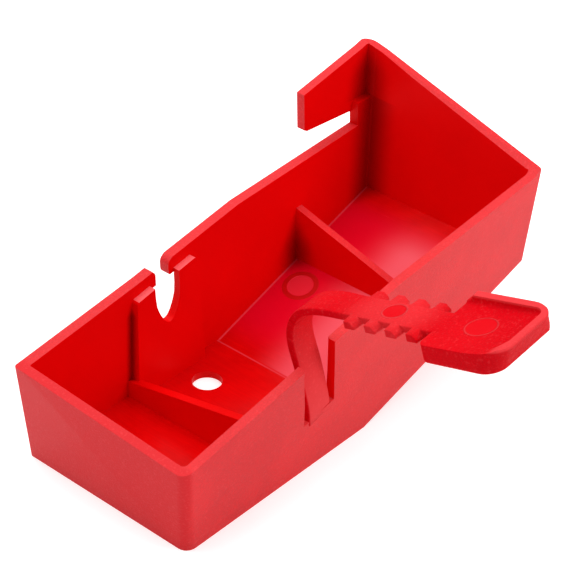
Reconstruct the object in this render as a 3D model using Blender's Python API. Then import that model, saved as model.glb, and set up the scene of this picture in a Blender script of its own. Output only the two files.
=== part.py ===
"""Open one-piece plastic tray with two hook-in wall slots and a toothed fold-over strap.

Blender 4.5, metres, +Z up. The left half of the tray's underside is the level resting face.
The strap is cut at two hinges so that its bend can be posed; every length of it is a named node.
"""
import bpy
import bmesh
from math import cos, radians, sin
from mathutils import Matrix, Vector

MM = 0.001
GAP = 0.3            # between neighbouring nodes of the one moulding
# ---- tray -------------------------------------------------------------------
LENGTH = 100.0       # underside, left to right
WIDTH = 41.0         # underside, near to far
WALL = 2.0
FLOOR = 1.6
KINK_X = 50.0        # where the underside starts to climb
RISE = 16.0          # how far it has climbed at the right end
DRAFT_SIDE = 0.052   # outward lean of the long walls
DRAFT_END = 0.083    # outward lean of the end walls
CORNERS = (2.2, 0.8, 2.2, 0.8)   # far right, far left, near left, near right
INNER_R = 0.8
RIM_NEAR = [(-20, 15.0), (-1.5, 18.8), (29.5, 25.0), (38.6, 27.9), (57.5, 31.6), (LENGTH - 2, 36.1),
            (LENGTH + 25, 39.8)]
RIM_FAR = [(-20, 18.9), (-1.5, 21.4), (31.5, 25.9), (39.0, 27.3), (57.0, 30.4), (LENGTH + 25, 34.8)]
END_RIM = (37.5, 0.278)   # right end rim: height at y = 0, slope
# ---- hook over the open slot, set outboard of the far wall -------------------
SLOT_END = LENGTH - 4.8
HOOK_X = SLOT_END - 15.2   # the hook's free end
HOOK_OUT = 1.75
HOOK_TOP = (45.3, 0.2)     # height at HOOK_X, slope
HOOK_LOW = (36.8, -0.065)  # height at HOOK_X, slope
LEDGE = 38.1
# ---- keyhole slot and its offset plate ---------------------------------------
SLOT_X = 35.25
SLOT_W = 7.0
SLOT_ARC_Z = 18.3
THROAT = (33.6, 36.8)
PLATE_PROUD = 1.6
PLATE_TOP = (22.1, 0.16)   # height at x = 28.6, slope
WINDOW = (27.7, 42.7, 2.6)
# ---- dividers ----------------------------------------------------------------
LOW_DIV = (24.4, 1.8)          # left face, thickness
LOW_DIV_TOP = (11.8, -0.2115)  # height over the floor at y = 0, slope along y
TALL_DIV = (75.1, 1.75)
TALL_DIV_TOP = (1.15, 0.277)
DIV_DRAFT = 0.15               # thicker by this on each side at the foot
# ---- drain hole --------------------------------------------------------------
HOLE = (38.6, 31.2, 6.2)   # centre, diameter
# ---- strap, in its own frame: o outward from the near wall, b across, v up -----
NOTCH_X = (30.9, 39.35)     # sides of the strap's opening
NOTCH_LOW = (11.5, 0.219)   # its underside: height at its left end, slope
ROOT = Vector((35.35, -0.67, 12.5))
LEAN = radians(3.5)
YAW = radians(2.0)
STRAP_W = 6.15       # at the root
STRAP_FAR = [(0, 3.08), (20, 3.1), (24, 3.3), (28, 3.9), (32, 4.0), (36, 3.7)]   # right half width along it
STRAP_T = 1.5
BAR_W = 6.7
BAR_T = 1.6
BAR_TILT = radians(15.5)
PIVOT_IN = 0.85      # hinge lines lie this far inboard of the strap's middle
PATH = [(-1.17, 0.0), (-1.33, 3.3), (-1.95, 6.7), (-2.78, 10.0), (-3.75, 13.1), (-4.47, 15.6),
        (-4.72, 18.0), (-4.33, 20.5), (-3.3, 22.8), (-1.55, 24.65), (0.6, 25.85), (2.9, 26.72),
        (5.15, 27.42), (7.6, 28.1)]
HINGES = (14.5, 29.0)   # along the path
TOOTH_PITCH = 4.62
TOOTH_L = 2.6
TOOTH_OUT = 2.2
TOOTH_0 = 1.6        # first tooth, from the bar's inner end
TOOTH_SKEW = -0.055  # the right-hand teeth sit further in than the left-hand ones
BAR_SIDE = 0.3       # the bar's middle line lies this far towards the right
TEETH = 4
BAR_L = 20.1
PAD_L = 17.7
PAD_W = 16.7
PAD_SIDE = 0.95
PAD_T = 3.5
LIP_H = 1.65
LIP_W = 1.9
# ---- reach of the cutters ------------------------------------------------------
HIGH = 90.0
DEEP = -30.0
BEYOND = 20.0        # past the tray's ends and sides

COLL = None
CUT = None


# ------------------------------------------------------------------ small helpers
def reset():
    for ob in list(bpy.data.objects):
        bpy.data.objects.remove(ob, do_unlink=True)
    global COLL, CUT
    COLL = bpy.data.collections.new("strap_tray")
    CUT = bpy.data.collections.new("cutters")
    for c in (COLL, CUT):
        bpy.context.scene.collection.children.link(c)


def material(name, rgb, rough):
    mat = bpy.data.materials.new(name)
    mat.use_nodes = True
    bsdf = mat.node_tree.nodes["Principled BSDF"]
    bsdf.inputs["Base Color"].default_value = (*rgb, 1.0)
    bsdf.inputs["Roughness"].default_value = rough
    mat.diffuse_color = (*rgb, 1.0)
    return mat


def obj_from_bm(name, bm, coll=None):
    bmesh.ops.remove_doubles(bm, verts=bm.verts, dist=0.00001)
    bmesh.ops.recalc_face_normals(bm, faces=bm.faces)
    me = bpy.data.meshes.new(name)
    bm.to_mesh(me)
    bm.free()
    ob = bpy.data.objects.new(name, me)
    (coll or CUT).objects.link(ob)
    if (coll or CUT) is CUT:
        ob.hide_render = True
        ob.display_type = "WIRE"
    return ob


def loft(name, rings, coll=None):
    """Closed solid through rings of equal length, given in millimetres."""
    bm = bmesh.new()
    rows = [[bm.verts.new(Vector(p) * MM) for p in ring] for ring in rings]
    n = len(rows[0])
    for lo, hi in zip(rows, rows[1:]):
        for i in range(n):
            bm.faces.new((lo[i], lo[(i + 1) % n], hi[(i + 1) % n], hi[i]))
    bm.faces.new(list(reversed(rows[0])))
    bm.faces.new(rows[-1])
    return obj_from_bm(name, bm, coll)


def wall_prism(name, outline, y_front, y_back, coll=None):
    """Outline in x and z, between two faces whose y may depend on z."""
    return loft(name, [[(x, y_front(z), z) for x, z in outline],
                       [(x, y_back(z), z) for x, z in outline]], coll)


def boolean(ob, other, op="DIFFERENCE"):
    mod = ob.modifiers.new("b", "BOOLEAN")
    mod.operation = op
    mod.solver = "EXACT"
    mod.object = other
    deps = bpy.context.evaluated_depsgraph_get()
    me = bpy.data.meshes.new_from_object(ob.evaluated_get(deps))
    ob.modifiers.clear()
    ob.data = me
    bpy.data.objects.remove(other, do_unlink=True)


def flatten(ob, angle=0.5):
    bm = bmesh.new()
    bm.from_mesh(ob.data)
    bmesh.ops.remove_doubles(bm, verts=bm.verts, dist=0.00002)
    bmesh.ops.dissolve_limit(bm, angle_limit=radians(angle), verts=bm.verts, edges=bm.edges)
    bmesh.ops.recalc_face_normals(bm, faces=bm.faces)
    bm.to_mesh(ob.data)
    bm.free()


def arc(cx, cz, r, a0, a1, n):
    return [(cx + r * cos(radians(a0 + (a1 - a0) * k / n)), cz + r * sin(radians(a0 + (a1 - a0) * k / n)))
            for k in range(n + 1)]


def line_at(table, x):
    for (x0, z0), (x1, z1) in zip(table, table[1:]):
        if x <= x1:
            return z0 + (z1 - z0) * (x - x0) / (x1 - x0)
    return table[-1][1]


def rounded_rect(x0, x1, y0, y1, radii, n=5):
    """Corners anticlockwise from far right."""
    pts = []
    for k, r in enumerate(radii):
        cx = x1 - r if k in (0, 3) else x0 + r
        cy = y1 - r if k < 2 else y0 + r
        pts += arc(cx, cy, r, 90 * k, 90 * k + 90, n)
    return pts


# ------------------------------------------------------------------ tray surfaces
def far_in(z):
    return WIDTH - WALL + DRAFT_SIDE * z


def near_in(z):
    return WALL - DRAFT_SIDE * z


def slope():
    return RISE / (LENGTH - KINK_X)


def floor_z(x):
    return FLOOR + max(0.0, (x - KINK_X - 0.1) * slope())


def frustum(name, inset, far_extra, z0, z1, radii):
    rings = []
    for z in (z0, z1):
        x0 = -DRAFT_END * z + inset
        x1 = LENGTH + DRAFT_END * (z - RISE) - inset
        y0 = -DRAFT_SIDE * z + inset
        y1 = WIDTH + DRAFT_SIDE * z - inset + far_extra
        rings.append([(x, y, z) for x, y in rounded_rect(x0, x1, y0, y1, radii)])
    return loft(name, rings)


def sky(name, xs, y_lines, heights):
    """Everything above a height field, as a closed cutter. heights[i][j] at xs[i], y_lines[j]."""
    bm = bmesh.new()
    low = [[bm.verts.new(Vector((x, y, heights[i][j])) * MM) for j, y in enumerate(y_lines)]
           for i, x in enumerate(xs)]
    top = [[bm.verts.new(Vector((x, y, HIGH)) * MM) for y in y_lines] for x in xs]
    nx, ny = len(xs), len(y_lines)
    for i in range(nx - 1):
        for j in range(ny - 1):
            a, b, c, d = low[i][j], low[i + 1][j], low[i + 1][j + 1], low[i][j + 1]
            bm.faces.new((a, b, c))
            bm.faces.new((a, c, d))
            bm.faces.new((top[i][j], top[i][j + 1], top[i + 1][j + 1], top[i + 1][j]))
    for i in range(nx - 1):
        for j in (0, ny - 1):
            bm.faces.new((low[i][j], low[i + 1][j], top[i + 1][j], top[i][j]))
    for j in range(ny - 1):
        for i in (0, nx - 1):
            bm.faces.new((low[i][j], low[i][j + 1], top[i][j + 1], top[i][j]))
    return obj_from_bm(name, bm)


def hook_top(x):
    return HOOK_TOP[0] + HOOK_TOP[1] * (x - HOOK_X)


def hook_low(x):
    return HOOK_LOW[0] + HOOK_LOW[1] * (x - HOOK_X)


def rim_sky():
    """Cutter whose underside is the rim: low along the far wall up to the slot's end, hook-high beyond it."""
    breaks = [x for x, _ in RIM_NEAR[1:-2]]
    xs = [-BEYOND, *breaks, SLOT_END, SLOT_END + 0.001, LENGTH - 1.4, LENGTH + 1, LENGTH + BEYOND]
    ys = [-BEYOND, 1.0, WIDTH - 1.4, WIDTH + BEYOND]
    rows = []
    for x in xs:
        near = line_at(RIM_NEAR, x)
        far = line_at(RIM_FAR, x) if x <= SLOT_END else hook_top(x)
        rows.append([near, near, far, far] if x < LENGTH else [END_RIM[0] + END_RIM[1] * y for y in ys])
    return sky("rim_sky", xs, ys, rows)


def below_cutter():
    """Wedge under the climbing half of the underside."""
    x1 = LENGTH + BEYOND
    pts = [(KINK_X, 0.0), (x1, (x1 - KINK_X) * slope()), (x1, DEEP), (-BEYOND, DEEP), (-BEYOND, 0.0)]
    return wall_prism("below", pts, lambda z: -BEYOND, lambda z: WIDTH + BEYOND)


def floor_block():
    """Everything below the floor's upper face."""
    x1 = LENGTH + BEYOND
    pts = [(-BEYOND, FLOOR), (KINK_X + 0.1, FLOOR), (x1, floor_z(x1)), (x1, DEEP), (-BEYOND, DEEP)]
    return wall_prism("floor_block", pts, lambda z: -BEYOND, lambda z: WIDTH + BEYOND)


# ------------------------------------------------------------------ tray shell
def step_cutter():
    """Outboard strip below the hook's underside, leaving the main far wall and its rounded corners."""
    z1 = hook_low(SLOT_END)
    strip = box("step", -BEYOND, LENGTH + BEYOND, WIDTH / 2, WIDTH + BEYOND, DEEP, z1)
    hair = 0.04
    rings = []
    for z in (DEEP - 1, HIGH):
        x0, x1 = -DRAFT_END * z - hair, LENGTH + DRAFT_END * (z - RISE) + hair
        rings.append([(x, y, z) for x, y in rounded_rect(x0, x1, -BEYOND, WIDTH + DRAFT_SIDE * z, CORNERS)])
    boolean(strip, loft("main_wall", rings))
    return strip


def upper_strip():
    """Room between the main wall's inner face and the hook's, above the ledge."""
    rings = []
    for z in (LEDGE, HIGH):
        x1 = LENGTH + DRAFT_END * (z - RISE) - WALL - 0.05
        pts = rounded_rect(HOOK_X - BEYOND, x1, WIDTH / 2, far_in(z) + HOOK_OUT, [INNER_R] * 4)
        rings.append([(x, y, z) for x, y in pts])
    return loft("upper_strip", rings)


def box(name, x0, x1, y0, y1, z0, z1, coll=None):
    return loft(name, [[(x0, y0, z), (x1, y0, z), (x1, y1, z), (x0, y1, z)] for z in (z0, z1)], coll)


def throat_cutter():
    t0, t1 = THROAT
    pts = [(t0, 21.5), (t0, 25.0)]
    pts += arc(t0 - 1.25, 25.0, 1.25, 0, 62, 4)[1:]
    pts += [(t0 - 1.2, 40), (t1 + 2.2, 40), (t1 + 1.35, 27.3)]
    pts += arc(t1 + 1.5, 25.55, 1.5, 122, 180, 4)
    pts += arc(t1 + 0.95, 24.3, 0.95, 180, 262, 4)
    pts += [(t1 + 0.9, 21.5)]
    return wall_prism("throat", pts, lambda z: WIDTH - 5, lambda z: WIDTH + BEYOND)


def plate_top(x):
    return PLATE_TOP[0] + PLATE_TOP[1] * (x - 28.6)


def window_cutter():
    x0, x1, z0 = WINDOW
    pts = [(x0, z0), (x1, z0), (x1, plate_top(x1)), (x0, plate_top(x0))]
    return wall_prism("window", pts, lambda z: WIDTH - 5, lambda z: WIDTH + BEYOND)


def notch_low(x):
    return NOTCH_LOW[0] + NOTCH_LOW[1] * (x - NOTCH_X[0])


def notch_cutter():
    """Opening in the near wall that frees the strap's root, leaving a slit on each side of it."""
    x0, x1 = NOTCH_X
    rise = 30.0
    rings = []
    for y, lean in ((-12, 0.24), (-1.2, 0.094), (1.0, 0.052), (8, 0.052)):
        foot = [(x1, notch_low(x1)), (x0, notch_low(x0))]
        head = [(x - lean * rise, z + rise) for x, z in reversed(foot)]
        rings.append([(x, y, z) for x, z in foot + head])
    return loft("notch", rings)


def make_shell():
    shell = frustum("tray_shell", 0.0, HOOK_OUT, -2.0, HIGH - BEYOND, CORNERS)
    boolean(shell, below_cutter())
    boolean(shell, step_cutter())
    boolean(shell, rim_sky())
    cavity = frustum("cavity", WALL, 0.0, -6.0, HIGH, [INNER_R] * 4)
    boolean(cavity, floor_block())
    boolean(shell, cavity)
    boolean(shell, upper_strip())
    boolean(shell, throat_cutter())
    boolean(shell, window_cutter())
    boolean(shell, notch_cutter())
    circle = arc(HOLE[0], HOLE[1], HOLE[2] / 2, 0, 348.75, 31)
    boolean(shell, loft("hole", [[(x, y, z) for x, y in circle] for z in (-5, 5)]))
    finish(shell)
    return shell


def finish(ob):
    flatten(ob, 0.15)
    CUT.objects.unlink(ob)
    COLL.objects.link(ob)
    ob.hide_render = False
    ob.display_type = "TEXTURED"
    return ob


def make_hook():
    """Arm that reaches back over the open slot from the right end."""
    x1 = SLOT_END - GAP
    pts = [(HOOK_X, hook_low(HOOK_X) + 0.4), (HOOK_X + 0.8, hook_low(HOOK_X + 0.8)), (x1, hook_low(x1)),
           (x1, hook_top(x1)), (HOOK_X, hook_top(HOOK_X))]
    inner = lambda z: far_in(z) + HOOK_OUT
    arm = wall_prism("hook_arm", pts, inner, lambda z: inner(z) + WALL)
    return finish(arm)


# ------------------------------------------------------------------ inside the tray
def divider(name, place_x, top, reach_z):
    """Partition from wall to wall with a straight top edge."""
    x0, w = place_x
    foot = (x0 - DIV_DRAFT, x0 + w + DIV_DRAFT)
    rings = []
    for y_of in (lambda z: near_in(z) + GAP, lambda z: far_in(z) - GAP):
        za, zb = (floor_z(x) + GAP for x in foot)
        zt = floor_z(x0) + top[0] + top[1] * y_of(reach_z)
        rings.append([(foot[0], y_of(za), za), (foot[1], y_of(zb), zb), (x0 + w, y_of(zt), zt), (x0, y_of(zt), zt)])
    return finish(loft(name, rings))


def make_plate():
    """Offset plate round the keyhole slot, standing on the floor against the far wall."""
    left = lambda z: 25.2 + 0.073 * z
    right = lambda z: 44.3 - 0.025 * z
    back = lambda z: far_in(z) - GAP
    front = lambda z: far_in(z) - PLATE_PROUD - 0.028 * (22.0 - z)
    zb = FLOOR + GAP
    notch_x, notch_z = LOW_DIV[0] + LOW_DIV[1] + DIV_DRAFT + GAP, 5.95
    zl = plate_top(left(22.0))
    zr = plate_top(right(24.0))
    r = SLOT_W / 2
    pts = [(notch_x, zb), (right(zb), zb), (right(zr), zr), (SLOT_X + r, plate_top(SLOT_X + r))]
    pts += [(x, z) for x, z in arc(SLOT_X, SLOT_ARC_Z, r, 0, -180, 12)]
    pts += [(SLOT_X - r, plate_top(SLOT_X - r)), (left(zl), zl), (left(notch_z), notch_z), (notch_x, notch_z)]
    return finish(wall_prism("slot_plate", pts, front, back))


# ------------------------------------------------------------------ strap
def strap_frame():
    w0 = Vector((cos(LEAN), 0, sin(LEAN)))
    up = Vector((-sin(LEAN), 0, cos(LEAN)))
    y0 = Vector((0, 1, 0))
    across = w0 * cos(YAW) + y0 * sin(YAW)
    out = w0 * sin(YAW) - y0 * cos(YAW)
    return out, across, up


def place(o, b, v):
    out, across, up = strap_frame()
    return ROOT + out * o + across * b + up * v


def spline():
    """Dense middle line of the neck, as (length, o, v, tangent angle)."""
    pts = [Vector(p) for p in PATH]
    end = pts[-1] + Vector((cos(BAR_TILT), sin(BAR_TILT))) * 3.0
    pts = [pts[0] * 2 - pts[1]] + pts + [end]
    dense = []
    for i in range(1, len(pts) - 2):
        p0, p1, p2, p3 = pts[i - 1:i + 3]
        for k in range(12):
            t = k / 12
            dense.append(0.5 * ((2 * p1) + (p2 - p0) * t + (2 * p0 - 5 * p1 + 4 * p2 - p3) * t * t
                                + (3 * p1 - p0 - 3 * p2 + p3) * t ** 3))
    dense.append(pts[-2])
    out, run = [], 0.0
    for i, p in enumerate(dense):
        if i:
            run += (p - dense[i - 1]).length
        out.append((run, p))
    return out


def path_at(s):
    line = spline()
    for (s0, p0), (s1, p1) in zip(line, line[1:]):
        if s <= s1:
            t = (s - s0) / (s1 - s0)
            d = (p1 - p0).normalized()
            return p0.lerp(p1, t), d
    d = Vector((cos(BAR_TILT), sin(BAR_TILT)))
    return line[-1][1] + d * (s - line[-1][0]), d


def path_length():
    return spline()[-1][0]


def on_foot(q):
    """Slide a point of the strap's root down to just above its opening's underside."""
    up = strap_frame()[2]
    return q + up * ((notch_low(q.x) + GAP - q.z) / up.z)


def sweep(name, s0, s1, steps):
    rings = []
    for k in range(steps + 1):
        p, d = path_at(s0 + (s1 - s0) * k / steps)
        n = Vector((-d.y, d.x))          # points inboard
        h, t = STRAP_W / 2, STRAP_T / 2
        r = line_at(STRAP_FAR, s0 + (s1 - s0) * k / steps)
        rings.append([place(*q) for q in ((p.x + n.x * t, -h, p.y + n.y * t), (p.x + n.x * t, r, p.y + n.y * t),
                                          (p.x - n.x * t, r, p.y - n.y * t), (p.x - n.x * t, -h, p.y - n.y * t))])
        if s0 < 1 and k == 0:
            rings[0] = [on_foot(q) for q in rings[0]]
    return finish(loft(name, rings))


def make_neck():
    """Root, the link between the hinges, and the length that carries the bar."""
    ends = [0.55 - GAP / 2, *HINGES, path_length()]
    names = ["strap_root"] + ["neck_link_%d" % (k + 1) for k in range(len(HINGES))]
    for name, s0, s1 in zip(names, ends, ends[1:]):
        sweep(name, s0 + GAP / 2, s1 - GAP / 2, 4 if s1 - s0 < 6 else 8)


def bar_point(a, b, h):
    """Point on the toothed bar: a along it, b across, h above its top face."""
    p, d = path_at(path_length())
    n = Vector((-d.y, d.x))
    q = p + d * a + n * (STRAP_T / 2 + h)
    return place(q.x, b, q.y)


def tooth_start(k, side):
    return TOOTH_0 + k * TOOTH_PITCH + TOOTH_SKEW * side * (BAR_W / 2 + TOOTH_OUT)


def bar_outline():
    h = BAR_W / 2
    sides = []
    for s in (1, -1):
        row = [(GAP / 2, s * h)]
        for k in range(TEETH):
            a = tooth_start(k, s)
            row += [(a, s * h), (a + 0.15, s * (h + TOOTH_OUT)), (a + TOOTH_L - 0.25, s * (h + TOOTH_OUT)),
                    (a + TOOTH_L, s * h)]
        row.append((BAR_L - GAP / 2, s * h))
        sides.append([(a, b + BAR_SIDE) for a, b in row])
    return sides[0] + sides[1][::-1]


def make_bar():
    rings = [[bar_point(a, b, z) for a, b in bar_outline()] for z in (-BAR_T, 0.0)]
    bar = loft("tooth_bar", rings)
    # slope the outward top edge of each tooth
    h = BAR_W / 2
    for k in range(TEETH):
        for s in (-1, 1):
            a1 = tooth_start(k, s) + TOOTH_L
            b0, b1 = BAR_SIDE + s * (h + 0.02), BAR_SIDE + s * (h + TOOTH_OUT + 1)
            prof = [(a1 - 1.05, 0.01), (a1 + 0.35, 0.01), (a1 + 0.35, -0.95), (a1, -0.95)]
            rings = [[bar_point(a, b, z) for a, z in prof] for b in (b0, b1)]
            boolean(bar, loft("nick", rings))
    return finish(bar)


def pad_ring(z, grow, lean, r_out):
    a0, a1 = BAR_L + GAP / 2, BAR_L + PAD_L + lean
    h = PAD_W / 2 + grow
    c = PAD_SIDE
    pts = []
    for ca, cb, ang, r in ((a1, c + h, 0, r_out), (a0, c + h, 90, 0.8), (a0, c - h, 180, 1.5), (a1, c - h, 270, 3.0)):
        sa = -1 if ca == a1 else 1
        sb = -1 if cb > c else 1
        pts += [(x, y) for x, y in arc(ca + sa * r, cb + sb * r, r, ang, ang + 90, 6)]
    return [bar_point(a, b, z) for a, b in pts]


def make_pad():
    """Finger pad with a raised lip along its outer end and its right edge."""
    pad = loft("finger_pad", [pad_ring(-PAD_T, -0.25, -2.2, 2.3), pad_ring(-PAD_T + 0.5, 0.0, -1.9, 2.6),
                              pad_ring(0.0, 0.0, -0.5, 4.2), pad_ring(LIP_H - 0.35, 0.0, 0.3, 5.1),
                              pad_ring(LIP_H, -0.35, 0.05, 5.1)])
    a0, a1, h, c = BAR_L + GAP / 2, BAR_L + PAD_L, PAD_W / 2, PAD_SIDE
    inner = []
    x0, x1, y0, y1, r = a0 - 3, a1 - LIP_W + 0.2, c - h - 3, c + h - LIP_W, 2.0
    for ca, cb, ang in ((x1 - r, y1 - r, 0),):
        inner += arc(ca, cb, r, ang, ang + 90, 6)
    inner += [(x0, y1), (x0, y0), (x1 - 3.0, y0), (x1 - 3.0, c - h + 0.3), (x1, c - h + 2.9)]
    rings = [[bar_point(a, b, z) for a, b in inner] for z in (0.0, LIP_H + 2)]
    boolean(pad, loft("pad_pocket", rings))
    # slope the lip's inner end
    prof = [(a0 - 1, 0.55), (a0 + 0.05, 0.55), (a0 + 0.8, LIP_H + 0.02), (a0 + 0.8, LIP_H + 2), (a0 - 1, LIP_H + 2)]
    boolean(pad, loft("lip_end", [[bar_point(a, b, z) for a, z in prof] for b in (c + 2, c + h + 2)]))
    return finish(pad)


# ------------------------------------------------------------------ put together
def shift_all():
    """Origin at the middle of the bounding box, on the resting face."""
    lo = Vector((9, 9, 9))
    hi = Vector((-9, -9, -9))
    for ob in COLL.objects:
        for v in ob.data.vertices:
            for i in range(3):
                lo[i] = min(lo[i], v.co[i])
                hi[i] = max(hi[i], v.co[i])
    off = Vector((-(lo.x + hi.x) / 2, -(lo.y + hi.y) / 2, -lo.z))
    for ob in COLL.objects:
        ob.data.transform(Matrix.Translation(off))
    return off, hi - lo


def hinge_line(station):
    p, d = path_at(station)
    n = Vector((-d.y, d.x))
    q = p + n * PIVOT_IN
    return place(q.x, 0.0, q.y)


def set_origins(off):
    """A moving piece has its origin on the hinge that carries it."""
    groups = [["neck_link_1"], ["neck_link_2", "tooth_bar", "finger_pad"]]
    across = strap_frame()[1]
    for station, names in zip(HINGES, groups):
        pos = hinge_line(station) * MM + off
        print("HINGE %s pos %.6f %.6f %.6f axis %.6f %.6f %.6f" % (names[0], *pos, *across))
        for name in names:
            ob = bpy.data.objects[name]
            ob.data.transform(Matrix.Translation(-pos))
            ob.location = pos


def main():
    reset()
    red = material("red_plastic", (0.78, 0.03, 0.03), 0.5)
    make_shell()
    make_hook()
    divider("low_divider", LOW_DIV, LOW_DIV_TOP, 8.0)
    divider("tall_divider", TALL_DIV, TALL_DIV_TOP, 16.0)
    make_plate()
    make_neck()
    make_bar()
    make_pad()
    off, size = shift_all()
    set_origins(off)
    print("SHIFT %.6f %.6f %.6f SIZE %.6f %.6f %.6f" % (*off, *size))
    for ob in COLL.objects:
        ob.data.materials.clear()
        mat = red.copy()
        mat.name = "red_plastic_" + ob.name
        ob.data.materials.append(mat)
        for poly in ob.data.polygons:
            poly.use_smooth = False
    bpy.data.materials.remove(red)


main()
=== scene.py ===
"""Open red tray with two hook-in slots and a toothed fold-over strap: looks, light and camera.

The tray, its hook, ribs and keyhole plate are one moulded piece, and the strap springs from it.
Sizes are millimetres from the left near corner of the underside, until in_frame() moves them.
"""

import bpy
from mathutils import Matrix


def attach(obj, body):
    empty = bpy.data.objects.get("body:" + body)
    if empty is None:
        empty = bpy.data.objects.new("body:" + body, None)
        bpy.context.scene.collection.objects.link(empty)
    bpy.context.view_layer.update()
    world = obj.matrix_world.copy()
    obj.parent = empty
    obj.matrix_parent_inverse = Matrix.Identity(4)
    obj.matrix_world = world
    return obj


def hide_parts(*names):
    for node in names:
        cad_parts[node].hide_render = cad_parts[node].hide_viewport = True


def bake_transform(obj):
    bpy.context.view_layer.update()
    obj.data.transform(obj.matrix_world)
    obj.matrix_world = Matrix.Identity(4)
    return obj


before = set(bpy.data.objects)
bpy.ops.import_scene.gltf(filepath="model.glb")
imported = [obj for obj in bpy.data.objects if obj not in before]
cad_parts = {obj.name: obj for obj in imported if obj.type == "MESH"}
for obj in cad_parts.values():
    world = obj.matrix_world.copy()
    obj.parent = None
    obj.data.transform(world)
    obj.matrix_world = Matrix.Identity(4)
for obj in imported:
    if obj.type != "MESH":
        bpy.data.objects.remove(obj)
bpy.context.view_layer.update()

from math import cos, hypot, radians, sin

import bmesh
import bpy
from mathutils import Matrix, Vector

bl_info = {
    "name": "Strap tray",
    "version": (1, 0, 0),
    "blender": (4, 5, 0),
    "location": "3D View > Sidebar > Strap tray",
    "description": "Builds a moulded tray with a toothed fold-over strap",
    "category": "Object",
}

MM = 0.001
CORNER_IN_FRAME = Vector((-50.503, -0.401, 0.0))   # the object's box is centred on the frame's origin
BEYOND = 20.0                   # how far cutters run past the tray, and how high and deep they go
HIGH = 90.0
DEEP = -30.0
# ---- tray
KINK_X = 50.0                   # where the underside starts to climb
RISE = 16.0                     # height of the climb at the right end
INNER_KINK = KINK_X + 0.1       # where the floor's top starts to climb
DRAFT_SIDE = 0.052              # how far the walls lean out, for each millimetre of height
DRAFT_END = 0.083
CORNERS = (2.8, 0.8, 2.2, 1.0)  # radii: far right, far left, near left, near right
INNER_CORNERS = (0.4, 0.3, 0.9, 0.5)
FAR_SWELL = 0.3                 # the far wall is a little thicker than the others
RIM_NEAR = [(-20, 15.0), (-1.5, 18.8), (29.5, 25.0), (38.6, 27.9), (57.5, 31.6), (98, 36.1), (125, 39.8)]
RIM_FAR = [(-20, 18.9), (-1.5, 21.4), (31.5, 25.9), (39.0, 27.3), (57.0, 30.4), (125, 34.8)]
RIM_STEPS = (-1.5, 29.5, 38.6, 57.5)     # x where both rims are read from these tables of x and height
END_RIM = (37.5, 0.278)         # height of the right end's rim at y = 0, slope along y
END_RIM_OVER = 0.7              # most that it stands over the hook's top
RIM_BAND = 1.4                  # the right end's and far rims start this far inside the underside's edges
HOOK_X = 80.0                   # free end of the hook, where its two heights are given, with slopes along x
HOOK_TOP = (45.3, 0.2)
HOOK_LOW = (36.8, -0.065)
HOOK_END = 95.2                 # end of the open slot below the hook
HOOK_OUT = 1.75                 # how far the hook stands out from the far wall
LEDGE = 38.1                    # height of the ledge right of the open slot
# ---- keyhole slot
SLOT_X = 35.18
SLOT_HALF = [(25.0, 3.35), (21.3, 3.33), (19.3, 3.15), (18.2, 2.8), (17.0, 2.3), (16.0, 1.75), (15.2, 1.15),
             (14.75, 0.55), (14.6, 0.0)]     # height, half width
THROAT = (33.6, 37.15)          # left and right sides of the way down into the slot
PLATE_X = 28.6                  # where the plate's and window's top heights are given, with slopes along x
PLATE_TOP = (23.1, 0.152)
WINDOW_TOP = (22.1, 0.16)
PLATE_LEFT = (25.2, 0.073)      # x at height 0, lean
PLATE_RIGHT = (44.3, -0.025)
PLATE_PROUD = 1.6               # how far the plate's top stands in from the wall
PLATE_LEAN = 0.028              # and how much more the rest does, for each millimetre below
WINDOW = (27.7, 42.7, 2.6)      # left, right, foot
# ---- ribs, hole and mark
LOW_RIB = (24.4, 1.8, 11.8, -0.2115, 8.0)    # left face, thickness, height over the floor, slope along y,
TALL_RIB = (75.1, 1.75, 1.15, 0.277, 16.0)   # and about how high its ends meet the walls
RIB_DRAFT = 0.15
HOLE = (38.6, 31.2, 6.2)        # place, width
FLOOR_MARK = (69.7, 33.8, 5.7)  # ejector's mark on the floor: place, width
# ---- strap
NOTCH_X = (30.9, 39.35)         # opening round the strap's root
NOTCH_LOW = (11.5, 0.219)       # height of its foot at its left side, slope along x
ROOT = Vector((35.35, -0.67, 12.5))
LEAN = radians(3.5)
YAW = radians(2.0)
PATH = [(-1.17, 0.0), (-1.33, 3.3), (-1.95, 6.7), (-2.78, 10.0), (-3.75, 13.1), (-4.47, 15.6),
        (-4.72, 18.0), (-4.33, 20.5), (-3.3, 22.8), (-1.55, 24.65), (0.6, 25.85), (2.9, 26.72),
        (5.15, 27.42), (7.6, 28.1)]          # middle line of the neck: outward and up from ROOT
HALF_LEFT = 3.075               # half widths, the right one by length along the path
HALF_RIGHT = [(0, 3.08), (20, 3.1), (24, 3.3), (28, 3.9), (32, 4.0), (36, 3.7)]
LOWER_BEND = (7.0, 21.5)        # along the path: where each bend starts and ends
UPPER_BEND = (22.2, 35.5)
MIDWAY = 21.75                  # where the neck's two lengths meet
ROOT_SWELL = 0.41               # brings the root's face out to the wall's, over the first ROOT_FADE
ROOT_FADE = 6.0
ROOT_SUNK = 1.0
ROOT_PALE = (13.0, 38.0)        # heights between which the strap's foot turns from the wall's paler red
BAR_TILT = radians(15.5)
BAR_W = 6.7
BAR_SIDE = 0.3                  # the bar's middle line lies this far to the right of the neck's
BAR_L = 20.1
TOOTH_0 = 1.6                   # start of the first tooth
TOOTH_L = 2.6
TOOTH_OUT = 2.2
TOOTH_SLOPE = (1.0, 0.95)       # length and drop of the slope on each tooth's side towards the pad
TOOTH_SKEW = -0.055
PAD_SIDE = 0.95
PAD_T = 3.5
PAD_LEAN = 0.35 / 17.0          # how much the pad's top climbs, for each millimetre along it
LIP_W = 1.8                     # along the right edge
LIP_OUT = 1.15                  # along the outer end
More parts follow.
